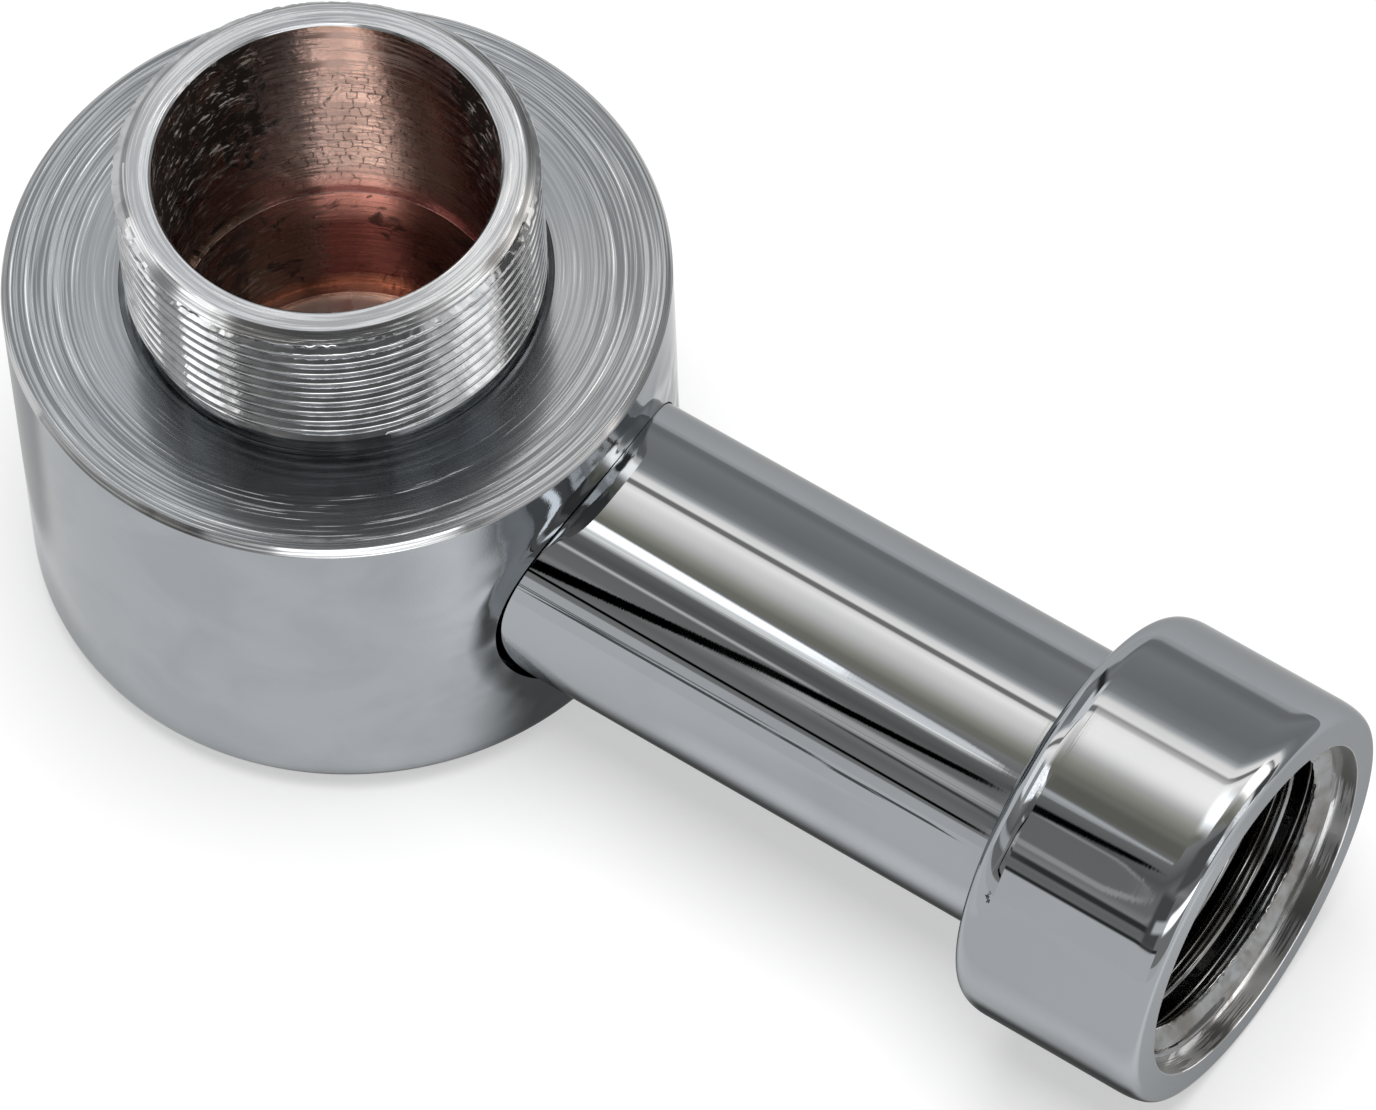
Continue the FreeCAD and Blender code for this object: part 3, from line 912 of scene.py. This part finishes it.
# Lights and dark things on the cloth: from and to in metres along X, the angle and the half width
# in degrees (two numbers where the ends differ), the light, and how soft the long edges are. Then
# what differs from a plain strip: endSoft and tip are in metres, the blur of the two ends and the
# length over which the strip closes to a round tip. ragged is in degrees and frays the long edges.
# streak varies the light along fine lines.
plainStrip = {"endSoft": 0.004, "ragged": 0.0, "tip": 0.0001, "streak": 0.0, "tint": "plain"}
tentStrips = {
    "pale ground": (-1.45, 1.45, 180.0, 8.6, 0.80, 0.7, {}),
    "seam in the ground": (-0.36, -0.29, 180.3, 1.2, 0.25, 0.5, {}),
    "thin dark line over the ground": (-0.36, -0.248, (165.0, 168.2), 1.1, 0.0, 0.4, {}),
    "cloth that the face shows": (-0.66, -0.352, (66.0, 62.0), 13.0, 1.28, 4.0, {"endSoft": 0.006}),
    "left light": (-1.45, -0.86, (111.0, 115.0), 14.0, 1.7, 3.0, {"endSoft": 0.03, "streak": 0.5}),
    "gap between the two left lights": (-0.86, -0.60, (116.0, 119.0), 14.0, 0.6, 3.0, {"endSoft": 0.02}),
    "strip light over the nipple": (-0.60, -0.345, (117.0, 115.0), (12.0, 9.0), 2.3, 2.0, {
        "endSoft": 0.01, "streak": 0.7}),
    "glow under the strip light": (-0.345, -0.250, (116.6, 119.6), (4.2, 2.4), 1.45, 2.6, {
        "tip": 0.01, "streak": 0.9, "tint": "neutral"}),
    "far half of the strip light": (-0.30, -0.251, (114.0, 117.2), (2.8, 1.9), 1.35, 1.2, {
        "tip": 0.008, "streak": 0.5}),
    "strip light along the tube": (-0.36, -0.283, (110.2, 115.1), (4.0, 2.5), 2.8, 1.2, {
        "endSoft": 0.012, "streak": 0.6}),
    "its faint line": (-0.35, -0.286, (135.0, 136.2), (1.2, 0.8), 1.0, 1.2, {
        "endSoft": 0.012, "streak": 0.5, "tint": "neutral"}),
    "paler patch below the pole": (-0.296, -0.246, (147.5, 146.0), (4.4, 3.4), 0.72, 2.4, {
        "endSoft": 0.008, "streak": 0.7, "tint": "neutral"}),
    "pale outline on the collar": (-0.246, -0.2155, 138.6, 9.2, 0.60, 0.9, {
        "tip": 0.008, "tint": "neutral"}),
    "inside the outline": (-0.246, -0.2163, 137.6, 7.2, 0.30, 0.9, {"tip": 0.008, "tint": "neutral"}),
    "dark line below the patch": (-0.285, -0.246, (151.4, 152.8), (0.8, 1.2), 0.08, 0.9, {"endSoft": 0.01}),
    "dark line below the pale one": (-0.246, 0.0, 153.8, 1.7, 0.06, 0.9, {"endSoft": 0.01}),
    "dark pole": (-0.36, -0.294, (165.7, 141.3), (5.0, 2.8), 0.0, 0.6, {"ragged": 2.0}),
    "dark pole, far end": (-0.298, -0.250, (142.4, 133.0), (2.8, 1.8), 0.0, 0.6, {
        "ragged": 1.6, "tip": 0.004}),
    "dark above the collar's tongue": (-0.246, -0.19, 111.5, 4.0, 0.24, 2.0, {"tint": "olive"}),
    "light tongue on the collar": (-0.246, -0.213, 118.0, (1.8, 1.2), 0.85, 0.9, {
        "tip": 0.02, "streak": 0.5}),
    "dark tongue on the collar": (-0.246, -0.2165, (128.6, 124.5), (2.4, 1.1), 0.0, 0.7, {
        "ragged": 1.0, "tip": 0.004}),
    "the collar's thin dark line": (-0.246, 0.30, 161.8, 1.0, 0.05, 0.6, {}),
    "the collar's pale side": (-0.246, 0.30, 174.0, 11.0, 0.88, 0.7, {}),
    "brighter cloth over the collar": (-0.246, -0.12, 78.0, 9.0, 2.0, 7.0, {
        "endSoft": 0.005, "tint": "warm"}),
    "dark edge behind the collar's bright patch": (-0.2475, -0.2415, 90.0, 23.0, 0.34, 4.0, {
        "endSoft": 0.002, "tint": "olive"}),
    "glow at the collar's front": (-0.19, 0.02, 84.0, 9.0, 3.4, 8.0, {"endSoft": 0.03}),
    "camera side": (0.02, 0.62, (117.0, 98.0), (13.0, 19.0), 0.15, 2.5, {"endSoft": 0.06}),
    "dark behind the camera": (-0.16, 0.14, 147.0, 15.0, 0.13, 3.0, {"endSoft": 0.03}),
    "line of light that the face's edge shows": (-0.07, 0.22, (150.3, 147.6), 3.4, 0.9, 1.5, {
        "endSoft": 0.03}),
    "its left end": (-1.45, -0.40, (154.8, 152.0), (5.0, 4.0), 0.75, 2.0, {"endSoft": 0.05}),
    "low front light": (0.24, 1.30, (146.6, 125.0), (5.0, 9.0), 3.8, 3.0, {"endSoft": 0.05}),
    "light that reaches into the bore": (0.05, 0.42, 58.0, 9.0, 4.6, 6.0, {
        "endSoft": 0.03, "tint": "warm"}),
    "right light": (0.575, 1.15, 98.5, 9.0, 1.7, 3.0, {"endSoft": 0.03, "streak": 1.0}),
    "gap in the right light": (0.50, 1.15, 85.0, 5.0, 0.95, 3.0, {"endSoft": 0.03, "streak": 0.5}),
    "right light, lower part": (0.50, 1.15, 72.5, 8.5, 1.7, 3.0, {"endSoft": 0.03, "streak": 1.0}),
    "dark under the right light": (0.50, 1.15, 50.0, 12.0, 0.12, 3.0, {"endSoft": 0.03}),
    "dark door that the face shows": (-0.95, -0.45, (30.0, 54.0), 6.0, 0.05, 4.0, {"endSoft": 0.02}),
}


def glowOf(tree, colour, strength):
    return addNode(tree, "ShaderNodeEmission", {"Color": colour, "Strength": strength}).outputs[0]


def blendShaders(amount, low, high):
    return addNode(treeOf(amount), "ShaderNodeMixShader", {0: amount, 1: low, 2: high}).outputs[0]


def useGlow(made, material, shown):
    # The piece shows this shader and isn't sampled as a lamp.
    feed(material.node_tree.nodes["Material Output"].inputs["Surface"], shown)
    material.cycles.emission_sampling = "NONE"
    made.data.materials.append(material)


def makeFloor(spec, cards):
    half, ground = spec["floorSize"] / 2, cadBox[0][2]
    floor = newPiece("floor", [(x * half, y * half, ground) for x, y in ((-1, -1), (1, -1), (1, 1), (-1, 1))],
                     [(0, 1, 2, 3)])
    material, shader, place = newFinish("floor_white", metallic=0.0)
    tree = material.node_tree
    setSockets(shader, {
        "Base Color": (*spec["floorColour"], 1), "Roughness": 1.0, "Specular IOR Level": 0.0})
    # The camera sees the floor lifted towards white, so that the shadow stays light.
    ray = tree.nodes.new("ShaderNodeLightPath").outputs
    lift = times(ray["Is Camera Ray"], spec["floorLift"])
    shown = blendShaders(lift, shader.outputs[0], glowOf(tree, (1, 1, 1, 1), 1.0))
    x, y, _ = splitXYZ(place)
    fromAxis = aboutZ(place)["Radius"]
    light = cover = 0.0
    for card in ({**plainCard, **one} for one in cards):
        soft, clear = card["soft"], card["clear"] / mm
        inside = step(fromAxis, clear, clear + 1.5)
        for part, (low, high) in ((minus(x, times(y, card["lean"])), card["x"]), (y, card["y"])):
            inside = times(inside, between(part, low + soft, high - soft, 2 * soft, 2 * soft))
        light, cover = blend(inside, light, card["light"]), blend(inside, cover, 1.0)
    table = glowOf(tree, (1, 1, 1, 1), over(light, cover))
    useGlow(floor, material, blendShaders(times(ray["Is Glossy Ray"], cover), shown, table))


def makeStripGroup():
    # One strip on the cloth, laid over the light that comes in.
    tree, given, result = newGroup("Tent strip", "ShaderNodeTree", {
        "Cloth": "Color", "Angle": 0.0, "Across": 0.0, "From": 0.0, "To": 1.0, "From Angle": 90.0,
        "To Angle": 90.0, "From Half": 5.0, "To Half": 5.0, "Light": "Color", "Soft": 0.8,
        "End Soft": 0.004, "Tip": 0.0001, "Fray": 0.0, "Streak": 0.0}, ["Cloth"], "Color")
    toEnd, fromStart = minus(given["To"], given["Across"]), minus(given["Across"], given["From"])
    share = over(fromStart, minus(given["To"], given["From"]), clamp=True)
    middle = blend(share, given["From Angle"], given["To Angle"])
    closing = calc("SQRT", over(toEnd, given["Tip"], clamp=True))
    half = times(blend(share, given["From Half"], given["To Half"]), closing)
    off = plus(calc("ABSOLUTE", minus(given["Angle"], middle)), given["Fray"])
    ends = times(*(step(over(reach, given["End Soft"]), -1.0, 1.0) for reach in (fromStart, toEnd)))
    mask = times(step(over(minus(off, half), given["Soft"]), 1.0, -1.0), ends)
    lit = addNode(tree, "ShaderNodeVectorMath", {
        0: given["Light"], "Scale": plus(1, given["Streak"])}, operation="SCALE").outputs[0]
    feed(result[0], blendColours(mask, given["Cloth"], lit))
    return tree


def makeTent(spec, strips):
    # Half a tube of cloth over the object, seen only in reflections.
    steps, radius, half = spec["tentSteps"], spec["tentRadius"], spec["tentHalfLength"]
    places = [(x, radius * math.cos(t), spec["tentAxisHeight"] + radius * math.sin(t))
              for t in (math.pi * k / steps for k in range(steps + 1)) for x in (-half, half)]
    tent = newPiece("tent", places, [(2 * k, 2 * k + 1, 2 * k + 3, 2 * k + 2) for k in range(steps)])
    for kind in ("camera", "diffuse", "shadow", "transmission", "volume_scatter"):
        setattr(tent, "visible_" + kind, False)
    material, shader, place = newFinish("tent_cloth")
    material.node_tree.nodes.remove(shader)
    x, y, z = splitXYZ(place)
    angle = times(calc("ARCTAN2", minus(z, spec["tentAxisHeight"]), y), 180 / math.pi)

    def lightOf(light, tint):
        return tuple(light / spec["tentPeak"] * c for c in spec["tints"][tint])

    def bendOf(start, rate, way):
        past = calc("MAXIMUM", times(minus(x, start), way), 0)
        return calc("MINIMUM", spec["mostBend"], times(past, rate))

    def noiseAt(scaleX, scaleAngle, rough):
        return minus(noiseOf(joinXYZ(times(x, scaleX), times(angle, scaleAngle)), 1.0, 3.0, rough), 0.5)

    share = over(plus(minus(angle, bendOf(*spec["leftBend"], -1)), bendOf(*spec["rightBend"], 1)), 180)
    stops = [(a / 180, lightOf(light, tint)) for tint, part in spec["cloth"].items() for a, light in part]
    middle = len(stops) // 2  # one ramp can't hold all the stops
    cloth = blendColours(calc("GREATER_THAN", share, stops[middle][0]),
                         rampOf(share, stops[:middle + 1]), rampOf(share, stops[middle:]))
    fray, streak = noiseAt(1500, 1, 0.6), noiseAt(9, 1.6, 0.5)
    stripGroup = makeStripGroup()
    for start, end, angles, halves, light, soft, others in strips.values():
        strip = {**plainStrip, **others}
        (fromAngle, toAngle), (fromHalf, toHalf) = (
            ends if isinstance(ends, tuple) else (ends, ends) for ends in (angles, halves))
        cloth = placeGroup(stripGroup, {
            "Cloth": cloth, "Angle": angle, "Across": x, "From": start, "To": end,
            "From Angle": fromAngle, "To Angle": toAngle, "From Half": fromHalf, "To Half": toHalf,
            "Light": (*lightOf(light, strip["tint"]), 1),
            "Soft": soft, "End Soft": strip["endSoft"], "Tip": strip["tip"],
            "Fray": times(fray, strip["ragged"]) if strip["ragged"] else 0.0,
            "Streak": times(streak, 2 * strip["streak"]) if strip["streak"] else 0.0})[0]
    useGlow(tent, material, glowOf(material.node_tree, cloth, spec["tentPeak"]))


def makeWorld(spec):
    world = bpy.data.worlds.new("studio")
    scene.world = world
    world.use_nodes = True
    ray = world.node_tree.nodes.new("ShaderNodeLightPath").outputs
    shown = calc("ADD", plus(ray["Is Camera Ray"], ray["Is Glossy Ray"]), ray["Is Transmission Ray"],
                 clamp=True)
    setSockets(world.node_tree.nodes["Background"], {
        "Color": (1, 1, 1, 1), "Strength": blend(shown, spec["skyLight"], 1.0)})
    lamp = bpy.data.lights.new("overhead", "AREA")
    lamp.shape, lamp.size, lamp.size_y = "RECTANGLE", spec["lampSize"], spec["lampSize"]
    lamp.energy = spec["lampPower"]
    made = bpy.data.objects.new("overhead", lamp)
    made.location = spec["lampPlace"]
    made.visible_glossy = False
    scene.collection.objects.link(made)


makeFloor(studio, floorCards)
makeTent(studio, tentStrips)
makeWorld(studio)
scene.view_settings.view_transform = "Standard"
print("studio made")
